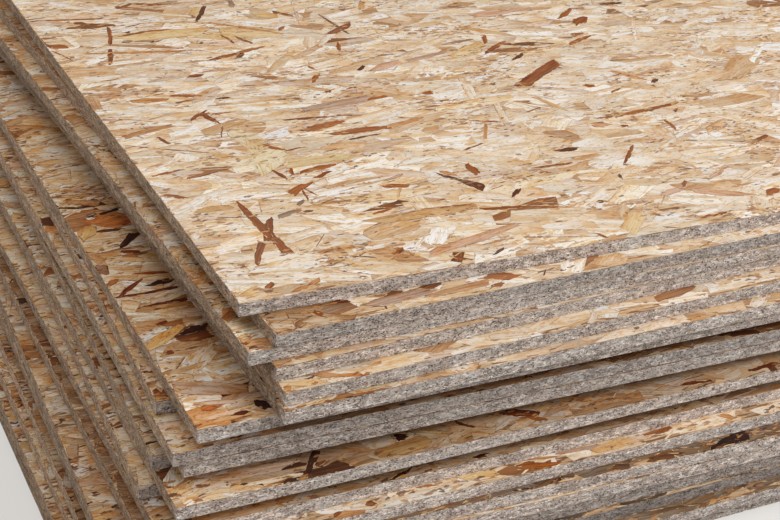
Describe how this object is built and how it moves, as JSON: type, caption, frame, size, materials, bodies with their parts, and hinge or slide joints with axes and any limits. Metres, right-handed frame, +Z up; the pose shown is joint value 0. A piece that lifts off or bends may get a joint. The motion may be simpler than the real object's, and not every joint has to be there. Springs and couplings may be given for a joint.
{
  "type": "stack of osb panels",
  "caption": "Loose, uneven stack of square-edged oriented strand board panels lying flat, long sides together, ready to lift off one by one.",
  "frame": {"origin": "centre of the bottom panel's underside", "axes": "+X along the panels' long side, to the right as the picture looks at the stack; +Y along their short side, away from the picture's viewer; +Z up"},
  "size_m": [2.7033, 1.4995, 0.378],
  "materials": {
    "osb": "pressed pale wood strands with brown bark strands on the faces, sawn grey-brown edges, unsealed"
  },
  "bodies": {
    "root": {"panel_01": "osb", "panel_02": "osb", "panel_03": "osb", "panel_04": "osb", "panel_05": "osb", "panel_06": "osb", "panel_07": "osb", "panel_08": "osb", "panel_09": "osb", "panel_10": "osb", "panel_11": "osb", "panel_12": "osb", "panel_13": "osb", "panel_14": "osb", "panel_15": "osb", "panel_16": "osb", "panel_17": "osb", "panel_18": "osb", "panel_19": "osb", "panel_20": "osb", "panel_21": "osb"}
  },
  "joints": []
}
